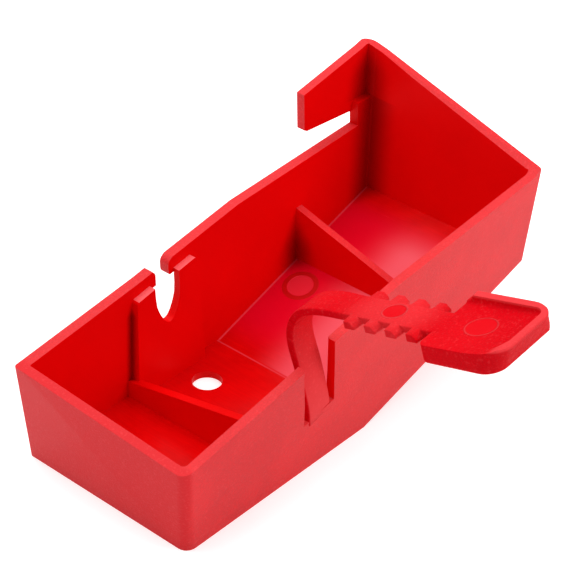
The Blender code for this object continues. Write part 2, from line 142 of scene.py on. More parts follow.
STRAP_MARKS = [(9.2, 0.65, 4.6), (27.77, 0.87, 5.9)]   # ejector's marks: along and across the bar, width
# ---- camera, in the frame
VIEW_FROM = Vector((-0.245282, -0.186629, 0.243198))
VIEW_RIGHT = Vector((0.65943745, -0.75133822, 0.02516217))
VIEW_UP = Vector((0.41072917, 0.38812026, 0.82502376))
VIEW_LENS = 126.3158


# ------------------------------------------------------------------ what a user would change
def millimetres(name, description, default, least, most):
    return bpy.props.FloatProperty(name=name, description=description + ", in millimetres",
                                   default=default, min=least, max=most)


def colour_of(name, description, default):
    return bpy.props.FloatVectorProperty(name=name, description=description, subtype="COLOR",
                                         default=default, min=0.0, max=1.0)


class TraySizes(bpy.types.PropertyGroup):
    length: millimetres("Length", "Underside, left to right", 100.0, 80.0, 130.0)
    width: millimetres("Width", "Underside, near to far", 41.0, 30.0, 60.0)
    wall: millimetres("Wall", "Thickness of the walls", 2.0, 1.0, 3.0)
    floor: millimetres("Floor", "Thickness of the floor", 1.6, 0.8, 3.0)
    rounding: millimetres("Edge rounding", "Radius of the moulded edges", 0.45, 0.0, 0.7)


class StrapSizes(bpy.types.PropertyGroup):
    thickness: millimetres("Thickness", "Thickness of the strap", 1.5, 0.8, 2.5)
    rounding: millimetres("Edge rounding", "Radius of the strap's edges", 0.32, 0.05, 0.6)
    teeth: bpy.props.IntProperty(name="Teeth", description="On each side", default=4, min=1, max=4)
    tooth_pitch: millimetres("Tooth pitch", "From tooth to tooth", 4.62, 3.5, 5.5)
    pad_length: millimetres("Pad length", "Along the strap", 17.7, 12.0, 22.0)
    pad_width: millimetres("Pad width", "Across the strap", 16.7, 10.0, 22.0)
    lip: millimetres("Lip height", "Over the bar's top", 1.65, 0.3, 2.5)


class FinishSettings(bpy.types.PropertyGroup):
    sparked: colour_of("Sparked red", "Outer faces", (0.73, 0.013, 0.018))
    strap: colour_of("Strap red", "The strap and its pad", (0.67, 0.0008, 0.006))
    polished: colour_of("Polished red", "Inner faces", (0.78, 0.0005, 0.001))
    # Also the colour of the painted highlights on the plate's top, the pad's lip, the bar's middle and the
    # marks' edges.
    speck: colour_of("Speck red", "Bright grains and rubbed edges", (0.95, 0.10, 0.11))
    floor: colour_of("Floor red", "Floor inside", (0.69, 0.0003, 0.001))
    root: colour_of("Root red", "Paler foot of the strap, as the wall beside it", (0.76, 0.05, 0.055))
    # Painted reflection on the climbing floor, as a cooler red.
    climb: colour_of("Climb red", "Cooler red of the climbing floor", (0.72, 0.0006, 0.016))
    # Painted reflection: pink sheen on the climb, the floor mark's disc and the floor's highlight lines.
    painted_sheen: colour_of("Blush", "Light let through to the climb by the near wall", (0.80, 0.075, 0.105))
    grain: millimetres("Spark grain", "Size of a grain", 0.34, 0.05, 1.0)
    daylight: bpy.props.FloatProperty(name="Room light", description="Strength of the light from all round",
                                      default=0.62, min=0.0, max=2.0)


# ------------------------------------------------------------------ mesh helpers
def tray_sizes():
    return bpy.context.scene.tray_sizes


def strap_sizes():
    return bpy.context.scene.strap_sizes


def in_frame(point):
    """A point given in millimetres from the tray's corner, as the frame has it."""
    return (Vector(point) + CORNER_IN_FRAME) * MM


def new_object(name, bm):
    bmesh.ops.remove_doubles(bm, verts=bm.verts, dist=0.01 * MM)
    bmesh.ops.recalc_face_normals(bm, faces=bm.faces)
    mesh = bpy.data.meshes.new(name)
    bm.to_mesh(mesh)
    bm.free()
    ob = bpy.data.objects.new(name, mesh)
    bpy.context.scene.collection.objects.link(ob)
    return ob


def loft(name, rings):
    """Closed solid through rings of equal length, in millimetres from the tray's corner."""
    bm = bmesh.new()
    rows = [[bm.verts.new(in_frame(p)) for p in ring] for ring in rings]
    n = len(rows[0])
    for lo, hi in zip(rows, rows[1:]):
        for i in range(n):
            bm.faces.new((lo[i], lo[(i + 1) % n], hi[(i + 1) % n], hi[i]))
    bm.faces.new(list(reversed(rows[0])))
    bm.faces.new(rows[-1])
    return new_object(name, bm)


def prism(name, outline, y_front, y_back):
    """Outline in x and z, between two faces whose y may depend on z."""
    return loft(name, [[(x, y_of(z), z) for x, z in outline] for y_of in (y_front, y_back)])


def evaluated(ob):
    """The object's mesh with its modifiers applied."""
    deps = bpy.context.evaluated_depsgraph_get()
    mesh = bpy.data.meshes.new_from_object(ob.evaluated_get(deps))
    ob.modifiers.clear()
    ob.data = mesh
    return ob


def combine(ob, other, operation):
    mod = ob.modifiers.new("combine", "BOOLEAN")
    mod.operation = operation
    mod.solver = "EXACT"
    mod.object = other
    evaluated(ob)
    bpy.data.objects.remove(other, do_unlink=True)


def cut(ob, cutter):
    combine(ob, cutter, "DIFFERENCE")


def join(ob, other):
    combine(ob, other, "UNION")


def clean_up(ob):
    """Merges the flat faces and close points that cutting leaves."""
    bm = bmesh.new()
    bm.from_mesh(ob.data)
    bmesh.ops.remove_doubles(bm, verts=bm.verts, dist=0.02 * MM)
    bmesh.ops.dissolve_limit(bm, angle_limit=radians(0.2), verts=bm.verts, edges=bm.edges)
    bmesh.ops.recalc_face_normals(bm, faces=bm.faces)
    bm.to_mesh(ob.data)
    bm.free()


def round_edges(ob, radius, segments=3):
    mod = ob.modifiers.new("rounding", "BEVEL")
    mod.width = radius * MM
    mod.segments = segments
    mod.limit_method = "ANGLE"
    mod.angle_limit = radians(28)
    mod.miter_outer = "MITER_ARC"
    mod.harden_normals = True
    ob.data.polygons.foreach_set("use_smooth", [True] * len(ob.data.polygons))
    evaluated(ob)


def arc(cx, cy, r, a0, a1, n):
    """Points round a centre, from one angle to another, in degrees."""
    steps = [radians(a0 + (a1 - a0) * k / n) for k in range(n + 1)]
    return [(cx + r * cos(a), cy + r * sin(a)) for a in steps]


def line_at(table, x):
    """Second value of a table's pairs, read between them at x."""
    for (x0, z0), (x1, z1) in zip(table, table[1:]):
        if x <= x1:
            return z0 + (z1 - z0) * (x - x0) / (x1 - x0)
    return table[-1][1]


def rounded_rect(x0, x1, y0, y1, radii, n=6):
    """Corners anticlockwise from far right."""
    pts = []
    for k, r in enumerate(radii):
        cx = x1 - r if k in (0, 3) else x0 + r
        cy = y1 - r if k < 2 else y0 + r
        pts += arc(cx, cy, r, 90 * k, 90 * k + 90, n)
    return pts


# ------------------------------------------------------------------ tray
# Where each wall stands at a height: first the outer faces, then the inner ones.
def left_face(z):
    return -DRAFT_END * z


def right_face(z):
    return tray_sizes().length + DRAFT_END * (z - RISE)


def near_face(z):
    return -DRAFT_SIDE * z


def far_face(z):
    return tray_sizes().width + DRAFT_SIDE * z


def left_in(z):
    return left_face(z) + tray_sizes().wall


def right_in(z):
    return right_face(z) - tray_sizes().wall


def near_in(z):
    return near_face(z) + tray_sizes().wall


def far_in(z):
    return far_face(z) - tray_sizes().wall


def out_beyond(z):
    """A place past the far wall, at any height."""
    return tray_sizes().width + BEYOND


def slope():
    return RISE / (tray_sizes().length - KINK_X)


def floor_z(x):
    return tray_sizes().floor + max(0.0, (x - INNER_KINK) * slope())


def hook_top(x):
    return HOOK_TOP[0] + HOOK_TOP[1] * (x - HOOK_X)


def hook_low(x):
    return HOOK_LOW[0] + HOOK_LOW[1] * (x - HOOK_X)


def frustum(name, inset, far_extra, z0, z1, radii):
    """Block between the four leaning walls, each moved inwards by inset."""
    rings = []
    for z in (z0, z1):
        near, far = near_face(z) + inset, far_face(z) - inset + far_extra
        corners = rounded_rect(left_face(z) + inset, right_face(z) - inset, near, far, radii)
        rings.append([(x, y, z) for x, y in corners])
    return loft(name, rings)


def sky(xs, ys, heights):
    """Everything above a height field, as a closed cutter."""
    bm = bmesh.new()
    low = [[bm.verts.new(in_frame((x, y, z))) for y, z in zip(ys, row)] for x, row in zip(xs, heights)]
    top = [[bm.verts.new(in_frame((x, y, HIGH))) for y in ys] for x in xs]
    nx, ny = len(xs) - 1, len(ys) - 1
    for i in range(nx):
        for j in range(ny):
            a, b, c, d = low[i][j], low[i + 1][j], low[i + 1][j + 1], low[i][j + 1]
            bm.faces.new((a, b, c))
            bm.faces.new((a, c, d))
            bm.faces.new((top[i][j], top[i][j + 1], top[i + 1][j + 1], top[i + 1][j]))
        for j in (0, ny):
            bm.faces.new((low[i][j], low[i + 1][j], top[i + 1][j], top[i][j]))
    for j in range(ny):
        for i in (0, nx):
            bm.faces.new((low[i][j], low[i][j + 1], top[i][j + 1], top[i][j]))
    return new_object("sky", bm)


def rim_sky():
    """Everything above the rims: low along the far wall, hook-high from the hook's free end on."""
    t = tray_sizes()
    hair = 0.001
    x1, y1 = t.length - RIM_BAND, t.width - RIM_BAND
    xs = [-BEYOND, *RIM_STEPS, HOOK_X, HOOK_X + hair, x1, t.length + 1.0, t.length + BEYOND]
    ys = [-BEYOND, 1.0, y1, t.width + 4.3, t.width + BEYOND]
    end = [min(END_RIM[0] + END_RIM[1] * y, hook_top(x1) + END_RIM_OVER) for y in ys]
    rows = []
    for x in xs:
        near = line_at(RIM_NEAR, x)
        far = line_at(RIM_FAR, x) if x <= HOOK_X else hook_top(x)
        rows.append([near, near, far, far, far] if x < t.length else end)
    return sky(xs, ys, rows)


def below():
    """Wedge under the climbing half of the underside."""
    x1 = tray_sizes().length + BEYOND
    pts = [(KINK_X, 0.0), (x1, (x1 - KINK_X) * slope()), (x1, DEEP), (-BEYOND, DEEP), (-BEYOND, 0.0)]
    return prism("below", pts, lambda z: -BEYOND, out_beyond)


def floor_block():
    """Everything under the floor's top."""
    t = tray_sizes()
    x1 = t.length + BEYOND
    pts = [(-BEYOND, t.floor), (INNER_KINK, t.floor), (x1, floor_z(x1)), (x1, DEEP), (-BEYOND, DEEP)]
    return prism("floor_block", pts, lambda z: -BEYOND, out_beyond)


def box(name, x0, x1, y0, y1, z0, z1):
    return loft(name, [[(x0, y0, z), (x1, y0, z), (x1, y1, z), (x0, y1, z)] for z in (z0, z1)])


def hook_step():
    """Outboard strip below the hook, so that only the hook stands further out than the far wall."""
    t = tray_sizes()
    strip = box("step", -BEYOND, t.length + BEYOND, t.width / 2, t.width + BEYOND, DEEP, hook_low(HOOK_END))
    hair = 0.04
    rings = []
    for z in (DEEP - 1, HIGH):
        x0, x1 = left_face(z) - hair, right_face(z) + hair
        corners = rounded_rect(x0, x1, -BEYOND, far_face(z) + FAR_SWELL, CORNERS)
        rings.append([(x, y, z) for x, y in corners])
    cut(strip, loft("main_wall", rings))
    return strip


def past_middle(z):
    """A place between the tray's middle and its far wall, at any height."""
    return tray_sizes().width / 2 + 4.0


def far_rim_to_hook():
    """Start of the outline of both cuts at the hook: along the far rim to the end of the slot."""
    return [(x, line_at(RIM_FAR, x)) for x in (HOOK_X - 8.0, HOOK_END)]


def hook_room():
    """Open slot inboard of the hook, down to the far rim, and the room above the ledge at its right."""
    skin = 0.05
    pts = far_rim_to_hook() + [(HOOK_END, LEDGE)]
    pts += [(right_in(z) - skin, z) for z in (LEDGE, HIGH)] + [(pts[0][0], HIGH)]
    return prism("hook_room", pts, past_middle, lambda z: far_in(z) + HOOK_OUT)


def hook_slot():
    """Opening under the hook, right through to the far side; the hook's tip has a small slope below."""
    tip_l, tip_z = 0.8, hook_low(HOOK_X) + 0.45
    pts = far_rim_to_hook()
    pts += [(x, hook_low(x)) for x in (HOOK_END, HOOK_X + tip_l)]
    pts += [(HOOK_X - 0.1, tip_z), (pts[0][0], tip_z)]
    return prism("hook_slot", pts, past_middle, out_beyond)


def plate_top(x):
    return PLATE_TOP[0] + PLATE_TOP[1] * (x - PLATE_X)


def window_top(x):
    return WINDOW_TOP[0] + WINDOW_TOP[1] * (x - PLATE_X)


def plate_left(z):
    return PLATE_LEFT[0] + PLATE_LEFT[1] * z


def plate_right(z):
    return PLATE_RIGHT[0] + PLATE_RIGHT[1] * z


def keyhole_plate():
    """Offset plate round the keyhole slot; its back sinks into the far wall until the window is cut."""
    top = 22.0
    sunk = 0.5
    foot = tray_sizes().floor - sunk
    zl, zr = plate_top(plate_left(top)), plate_top(plate_right(top + 2.0))
    round_l, round_r = 0.9, 0.7
    pts = [(plate_left(foot), foot), (plate_right(foot), foot)]
    pts += arc(plate_right(zr) - round_r, zr - round_r, round_r, 0, 90, 6)
    top_l, top_r = SLOT_X - SLOT_HALF[0][1], SLOT_X + SLOT_HALF[0][1]
    pts += [(top_r, plate_top(top_r))] + [(SLOT_X + h, z) for z, h in SLOT_HALF[1:]]
    pts += [(SLOT_X - h, z) for z, h in reversed(SLOT_HALF[1:-1])] + [(top_l, plate_top(top_l))]
    pts += arc(plate_left(zl) + round_l, zl - round_l, round_l, 90, 180, 6)
    return prism("plate", pts, lambda z: far_in(z) - PLATE_PROUD - PLATE_LEAN * (top - z),
                 lambda z: far_in(z) + sunk)


def window():
    """Opening in the far wall behind the plate."""
    x0, x1, z0 = WINDOW
    pts = [(x0, z0), (x1, z0), (x1, window_top(x1)), (x0, window_top(x0))]
    return prism("window", pts, lambda z: far_in(z) - 0.03, out_beyond)


def throat():
    """Narrow way down into the keyhole slot, with rounded lips and a round under the right one."""
    x0, x1 = THROAT
    low, high = 21.5, 40.0
    left_r, right_r, under_r = 1.25, 1.5, 1.4
    pts = [(x0, low), (x0, 25.0)]
    pts += arc(x0 - left_r, 25.0, left_r, 0, 62, 8)[1:]
    pts += [(x0 - 1.2, high), (x1 + 2.2, high), (x1 + 1.35, 27.3)]
    pts += arc(x1 + right_r, 25.55, right_r, 122, 180, 8)
    pts += arc(x1 + under_r, 24.4, under_r, 180, 262, 8)
    pts += [(x1 + 1.2, low)]
    return prism("throat", pts, lambda z: far_in(z) - 0.4, out_beyond)


def rib(name, x0, thickness, height, tilt, reach_z):
    """Rib from wall to wall and into the floor, with a straight sloping top."""
    sunk = 0.8
    rings = []
    for y_of in (lambda z: near_in(z) - sunk, lambda z: far_in(z) + sunk):
        foot = [(x, floor_z(x) - sunk) for x in (x0 - RIB_DRAFT, x0 + thickness + RIB_DRAFT)]
        top = floor_z(x0) + height + tilt * y_of(reach_z)
        rings.append([(x, y_of(z), z) for x, z in foot + [(x0 + thickness, top), (x0, top)]])
    return loft(name, rings)


def notch_low(x):
    return NOTCH_LOW[0] + NOTCH_LOW[1] * (x - NOTCH_X[0])


def strap_notch():
    """Opening in the near wall that frees the strap's root, with a slit on each side of it."""
    x0, x1 = NOTCH_X
    rise = 30.0
    leans = ((-12.0, 0.24), (-1.2, 0.094), (1.0, 0.052), (8.0, 0.052))    # y, lean of the slits there
    foot = [(x1, notch_low(x1)), (x0, notch_low(x0))]
    rings = []
    for y, lean in leans:
        head = [(x - lean * rise, z + rise) for x, z in reversed(foot)]
        rings.append([(x, y, z) for x, z in foot + head])
    return loft("notch", rings)


def floor_hole():
    x, y, wide = HOLE
    sides = 48
    rim = arc(x, y, wide / 2, 0, 360 - 360 / sides, sides - 1)
    return loft("hole", [[(px, py, z) for px, py in rim] for z in (-5.0, 5.0)])


def make_tray_body():
    body = frustum("tray_body", 0.0, HOOK_OUT, -2.0, HIGH - BEYOND, CORNERS)
    for cutter in (below(), hook_step(), rim_sky()):
        cut(body, cutter)
    cavity = frustum("cavity", tray_sizes().wall, 0.0, -6.0, HIGH, INNER_CORNERS)
    cut(cavity, floor_block())
    for cutter in (cavity, hook_room(), hook_slot()):
        cut(body, cutter)
    for added in (keyhole_plate(), rib("low_rib", *LOW_RIB), rib("tall_rib", *TALL_RIB)):
        join(body, added)
    for cutter in (window(), throat(), strap_notch(), floor_hole()):
        cut(body, cutter)
    clean_up(body)
    return body


# The last slot paints a highlight on the plate's top.
SPARKED, POLISHED, FLOORED, PAINTED_HIGHLIGHT = range(4)      # the tray's material slots


def sort_faces(ob):
    for poly in ob.data.polygons:
        poly.material_index = slot_of(poly.center / MM - CORNER_IN_FRAME, poly.normal)


def slot_of(at, normal):
    """Which finish a face takes: sparked outside, polished on the inner walls, ribs and plate."""
    up = normal.z > 0.8
    if up and on_ledge(at):
        return POLISHED
    if in_cavity(at):
        return top_slot(at) if up else POLISHED
    across = abs(normal.x) > 0.6
    down = normal.z <= -0.5
    if not down and (in_hole(at) or across and (in_notch(at) or at_slot_end(at))):
        return POLISHED
    return SPARKED


def top_slot(at):
    """Finish of a face that looks up in the cavity: the floor, or the top of the plate or of a rib."""
    if abs(at.z - floor_z(at.x)) < 0.3:
        return FLOORED
    # The plate's top takes the painted highlight.
    if on_plate(at):
        return PAINTED_HIGHLIGHT
    return SPARKED if at.z > 15.0 else POLISHED


def on_ledge(at):
    return abs(at.y - far_in(at.z)) < 2.5 and at.x > HOOK_X and 30.0 < at.z < LEDGE + 0.5


def on_plate(at):
    return 24.0 < at.x < 46.0 and at.z > 20.0 and at.y < far_in(at.z) + 0.3


def at_slot_end(at):
    return abs(at.x - HOOK_END) < 0.6 and at.z < LEDGE + 0.5


def in_hole(at):
    return hypot(at.x - HOLE[0], at.y - HOLE[1]) < HOLE[2] / 2 + 0.05


def in_notch(at):
    return NOTCH_X[0] - 1.0 < at.x < NOTCH_X[1] + 1.0 and at.y < near_in(at.z)


def in_cavity(at):
    slack = 0.2
    far = far_in(at.z)
    if at.z > LEDGE - slack and at.x > HOOK_X - 1.0:
        far += HOOK_OUT
    along = left_in(at.z) - slack < at.x < right_in(at.z) + slack
    return along and near_in(at.z) - slack < at.y < far + slack and at.z >= floor_z(at.x) - 2 * slack


# ------------------------------------------------------------------ strap
def strap_frame():
    """Directions of the strap: outward, across and up."""
    w0 = Vector((cos(LEAN), 0, sin(LEAN)))
    up = Vector((-sin(LEAN), 0, cos(LEAN)))
    y0 = Vector((0, 1, 0))
    return w0 * sin(YAW) - y0 * cos(YAW), w0 * cos(YAW) + y0 * sin(YAW), up


def place(o, b, v):
    """Point of the strap: o outward from the near wall, b across, v up."""
    out, across, up = strap_frame()
    return ROOT + out * o + across * b + up * v


def spline():
    """Dense middle line of the neck, as (length, point)."""
    pts = [Vector(p) for p in PATH]
    pts = [pts[0] * 2 - pts[1]] + pts + [pts[-1] + Vector((cos(BAR_TILT), sin(BAR_TILT))) * 3.0]
    dense = []
    for p0, p1, p2, p3 in zip(pts, pts[1:], pts[2:], pts[3:]):
        for k in range(12):
            t = k / 12
            dense.append(0.5 * ((2 * p1) + (p2 - p0) * t + (2 * p0 - 5 * p1 + 4 * p2 - p3) * t * t
                                + (3 * p1 - p0 - 3 * p2 + p3) * t ** 3))
    dense.append(pts[-2])
    line, run = [], 0.0
    for before, p in zip([dense[0]] + dense, dense):
        run += (p - before).length
        line.append((run, p))
    return line


LINE = spline()
NECK_L = LINE[-1][0]


def path_at(s):
    """Point and direction at a length along the neck, or on along the bar."""
    for (s0, p0), (s1, p1) in zip(LINE, LINE[1:]):
        if s <= s1:
            return p0.lerp(p1, (s - s0) / (s1 - s0)), (p1 - p0).normalized()
    d = Vector((cos(BAR_TILT), sin(BAR_TILT)))
    return LINE[-1][1] + d * (s - NECK_L), d


def on_path(s):
    """Point of the strap's middle line, in the frame."""
    p, _ = path_at(s)
    return in_frame(place(p.x, 0.0, p.y))


def section(s):
    """Rounded cross-section at a length along the path."""
    p, d = path_at(s)
    n = Vector((-d.y, d.x))
    t, r = strap_sizes().thickness / 2, strap_sizes().rounding
    left, right = HALF_LEFT, line_at(HALF_RIGHT, s)
    fade = min(1.0, max(0.0, 1 - s / ROOT_FADE))
    swell = ROOT_SWELL * fade * fade * (3 - 2 * fade)
    pts = rounded_rect(-left, right, -t - swell, t, [r] * 4, 3)
    return [place(p.x + n.x * h, b, p.y + n.y * h) for b, h in pts]


def on_foot(q):
    """Slide a point of the strap's root down along it, to just inside the wall under its opening."""
    up = strap_frame()[2]
    return q + up * ((notch_low(q.x) - ROOT_SUNK - q.z) / up.z)


def make_band(name, s0, s1):
    """The strap between two lengths along its path, with a ring of points about every 0.6 mm."""
    steps = round((s1 - s0) / 0.6)
    rings = [section(s0 + (s1 - s0) * k / steps) for k in range(steps + 1)]
    if s0 == 0.0:
        rings[0] = [on_foot(q) for q in rings[0]]
    ob = loft(name, rings)
    for poly in ob.data.polygons:
        poly.use_smooth = len(poly.vertices) == 4
    return ob


def bar_point(a, b, h):
    """Point on the bar: a along it from the neck's end, b across, h above its top face."""
    p, d = path_at(NECK_L)
    n = Vector((-d.y, d.x))
    q = p + d * a + n * (strap_sizes().thickness / 2 + h)
    return place(q.x, b, q.y)


def tooth(side):
    """One tooth at the place of the first on that side, its foot sunk into the bar."""
    h, t = BAR_W / 2, strap_sizes().thickness
    a0 = TOOTH_0 + TOOTH_SKEW * side * (h + TOOTH_OUT)
    slope_l, drop = TOOTH_SLOPE
    profile = [(0.0, 0.0), (TOOTH_L - slope_l, 0.0), (TOOTH_L, -drop), (TOOTH_L, -t), (0.0, -t)]
    rings = []
    for b, pinch in ((h - 0.6, 0.0), (h, 0.0), (h + TOOTH_OUT, 0.18)):
        squeezed = [(a0 + pinch + (TOOTH_L - 2 * pinch) * a / TOOTH_L, z) for a, z in profile]
        rings.append([bar_point(a, BAR_SIDE + side * b, z) for a, z in squeezed])
    ob = loft("tooth", rings)
    round_edges(ob, 0.14, segments=2)
    return ob


def row_tree():
    """Geometry Nodes: repeats what it is given along a straight line."""
    tree = bpy.data.node_groups.new("tooth_row", "GeometryNodeTree")
    face = tree.interface
    inputs = {"Geometry": "Geometry", "Count": "Int", "Step": "Vector", "Material": "Material"}
    for name, kind in inputs.items():
        face.new_socket(name, in_out="INPUT", socket_type="NodeSocket" + kind)
    face.new_socket("Geometry", in_out="OUTPUT", socket_type="NodeSocketGeometry")
    given, made = tree.nodes.new("NodeGroupInput"), tree.nodes.new("NodeGroupOutput")
    line, copies, real, paint = (tree.nodes.new("GeometryNode" + kind) for kind in
                                 ("MeshLine", "InstanceOnPoints", "RealizeInstances", "SetMaterial"))
    wires = ((given, "Count", line, "Count"), (given, "Step", line, "Offset"),
             (line, "Mesh", copies, "Points"), (given, "Geometry", copies, "Instance"),
             (copies, "Instances", real, "Geometry"), (real, "Geometry", paint, "Geometry"),
             (given, "Material", paint, "Material"), (paint, "Geometry", made, "Geometry"))
    for start, out, end, into in wires:
        tree.links.new(start.outputs[out], end.inputs[into])
    return tree


def tooth_row(side, tree, material):
    ob = tooth(side)
    s = strap_sizes()
    step = (bar_point(s.tooth_pitch, 0, 0) - bar_point(0, 0, 0)) * MM
    mod = ob.modifiers.new("row", "NODES")
    mod.node_group = tree
    values = {"Count": s.teeth, "Step": step, "Material": material}
    for item in tree.interface.items_tree:
        if item.name in values and item.in_out == "INPUT":
            mod[item.identifier] = values[item.name]
    return evaluated(ob)


def make_bar(material):
    """The bar, its ends sunk a little into the neck and the pad, with its teeth joined on."""
    bar = loft("toothed_bar", [section(NECK_L + a) for a in (-0.02, 2.0, BAR_L, BAR_L + 0.6)])
    tree = row_tree()
    for side in (1, -1):
        join(bar, tooth_row(side, tree, material))
    return bar


def pad_end():
    """Place of the pad's outer end along the bar."""
    return BAR_L + strap_sizes().pad_length


def pad_sides():
    """Places of the pad's left and right edges across the bar."""
    half = strap_sizes().pad_width / 2
    return PAD_SIDE - half, PAD_SIDE + half


def pad_ring(z, grow, lean, r_right, r_left):
    """Outline of the pad at a height: how much wider and longer it is there, and its outer radii."""
    left, right = pad_sides()
    radii = (r_right, 0.8, 1.5, r_left)
    corners = rounded_rect(BAR_L, pad_end() + lean, left - grow, right + grow, radii, 8)
    return [bar_point(a, b, z) for a, b in corners]


def pad_pocket():
    """Room inside the lip, which runs along the right edge, the outer end and round the left corner.

    Its foot is a fillet, given by how far in the pocket's side is at each height.
    """
    left, right = pad_sides()
    a0, a1 = BAR_L - 3.0, pad_end()
    past_left, corner = left - 3.0, a1 - 8.0
    r_right, r_left = 2.0, 3.2
    above = strap_sizes().lip + 2.0
    rings = []
    for z, inset in ((0.0, 0.8), (0.06, 0.5), (0.23, 0.23), (0.5, 0.06), (0.8, 0.0), (above, 0.0)):
        x1, y0, y1 = a1 - LIP_OUT - inset, left + 1.5 + inset, right - LIP_W - inset
        inner = arc(x1 - r_right, y1 - r_right, r_right, 0, 90, 8)
        inner += [(a0, y1), (a0, past_left), (corner, past_left), (corner, y0)]
        inner += arc(x1 - r_left, y0 + r_left, r_left, 270, 360, 10)
        rings.append([bar_point(a, b, z + pad_rise(a)) for a, b in inner])
    return loft("pocket", rings)


def pad_rise(a):
    """The pad's top leans up a little towards its outer end."""
    return PAD_LEAN * (a - BAR_L)


def lip_cutter(name, profile, sides):
    """Cutter over a profile, given along the bar and up, between two places across it."""
    return loft(name, [[bar_point(a, b, z) for a, z in profile] for b in sides])


def lip_fade():
    """Takes off the lip along the left edge, up a slope to its full height at the outer end."""
    left, _ = pad_sides()
    lip, a0, a1 = strap_sizes().lip, BAR_L - 3.0, pad_end()
    above = lip + 3.0
    low = [(a, 0.03 + pad_rise(a)) for a in (a0, a1 - 7.5)]
    slope_up = [(a1 - 4.2, 0.7), (a1 - 1.0, lip + 0.05)]
    profile = low + slope_up + [(a1 - 1.0, above), (a0, above)]
    return lip_cutter("lip_fade", profile, (left - 3.0, left + 4.0))


def lip_end():
    """Slope at the lip's inner end, on the right edge."""
    _, right = pad_sides()
    lip, a0 = strap_sizes().lip, BAR_L
    above = lip + 2.0
    slope_up = [(a0 + 0.7, 0.4), (a0 + 1.5, lip + 0.02)]
    profile = [(a0 - 1.0, 0.4)] + slope_up + [(a0 + 1.5, above), (a0 - 1.0, above)]
    return lip_cutter("lip_end", profile, (PAD_SIDE + 2.0, right + 2.0))


def make_pad():
    lip = strap_sizes().lip
    rings = ((-PAD_T, -0.2, -2.2, 0.5, 3.5), (-PAD_T + 0.5, 0.0, -2.08, 0.7, 3.7),
             (-PAD_T / 2, 0.0, -1.3, 1.9, 3.6), (0.0, 0.0, -0.5, 3.4, 3.4),
             (lip - 0.42, 0.0, 0.27, 4.5, 3.1), (lip - 0.08, -0.2, 0.1, 4.5, 3.1))
    pad = loft("pad", [pad_ring(*ring) for ring in rings])
    for cutter in (pad_pocket(), lip_fade(), lip_end()):
        cut(pad, cutter)
    clean_up(pad)
    round_edges(pad, 0.4)
    return pad


# ------------------------------------------------------------------ materials
class Sum:
    """A shader socket that works in Python expressions, each operator one Math node."""

    def __init__(self, graph, socket):
        self.graph, self.socket = graph, socket

    def _math(self, operation, *values, clamp=False):
        settings = {"operation": operation, "use_clamp": clamp}
        node = self.graph.add("ShaderNodeMath", settings, dict(enumerate(values)))
        return Sum(self.graph, node.outputs[0])

    def __add__(self, other): return self._math("ADD", self, other)
    def __radd__(self, other): return self._math("ADD", other, self)
    def __sub__(self, other): return self._math("SUBTRACT", self, other)
    def __rsub__(self, other): return self._math("SUBTRACT", other, self)
    def __mul__(self, other): return self._math("MULTIPLY", self, other)
    def __rmul__(self, other): return self._math("MULTIPLY", other, self)
    def __truediv__(self, other): return self._math("DIVIDE", self, other)
    def __abs__(self): return self._math("ABSOLUTE", self)
    def clamp(self): return self._math("ADD", self, 0.0, clamp=True)

    def ramp(self, start, end):
        """0 at start, 1 at end, smooth between."""
        values = {"Value": self, "From Min": start, "From Max": end}
        node = self.graph.add("ShaderNodeMapRange", {"interpolation_type": "SMOOTHSTEP"}, values)
        return Sum(self.graph, node.outputs[0])


